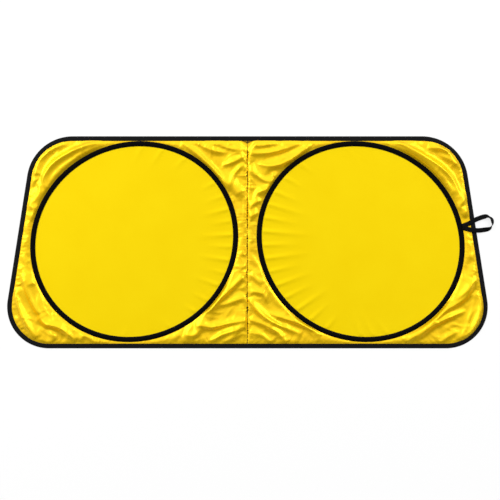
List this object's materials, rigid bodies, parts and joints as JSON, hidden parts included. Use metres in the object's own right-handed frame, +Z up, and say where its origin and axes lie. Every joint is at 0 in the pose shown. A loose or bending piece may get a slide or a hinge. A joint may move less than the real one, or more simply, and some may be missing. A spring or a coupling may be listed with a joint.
{
  "type": "pop-up windscreen sunshade",
  "caption": "Folding car windscreen sunshade opened flat: loose satin fabric sewn round taut discs on spring steel rings, with black edge tape, a centre seam and a storage loop.",
  "frame": {"origin": "on the surface that the shade lies on, under the centre seam, halfway between the two long edges", "axes": "+Z up out of the front face, +X along the long side towards the storage loop, +Y towards the shorter long edge"},
  "size_m": [1.5195, 0.662, 0.0186],
  "materials": {
    "taut_fabric": "smooth coated taffeta with a soft sheen",
    "loose_fabric": "satin, metallic sheen on the folds",
    "ring_tape": "matt woven tape",
    "edge_tape": "matt woven tape",
    "strap": "flat woven elastic",
    "spring_wire": "bright drawn wire",
    "ferrule": "crimped, satin"
  },
  "bodies": {
    "root": {"left_disc_panel": "taut_fabric", "right_disc_panel": "taut_fabric", "left_surround_panel": "loose_fabric", "right_surround_panel": "loose_fabric", "left_ring_tape": "ring_tape", "right_ring_tape": "ring_tape", "left_ring_wire": "spring_wire", "right_ring_wire": "spring_wire", "left_ring_ferrule": "ferrule", "right_ring_ferrule": "ferrule", "edge_tape": "edge_tape", "centre_seam_tape": "edge_tape", "storage_loop": "strap"}
  },
  "joints": []
}
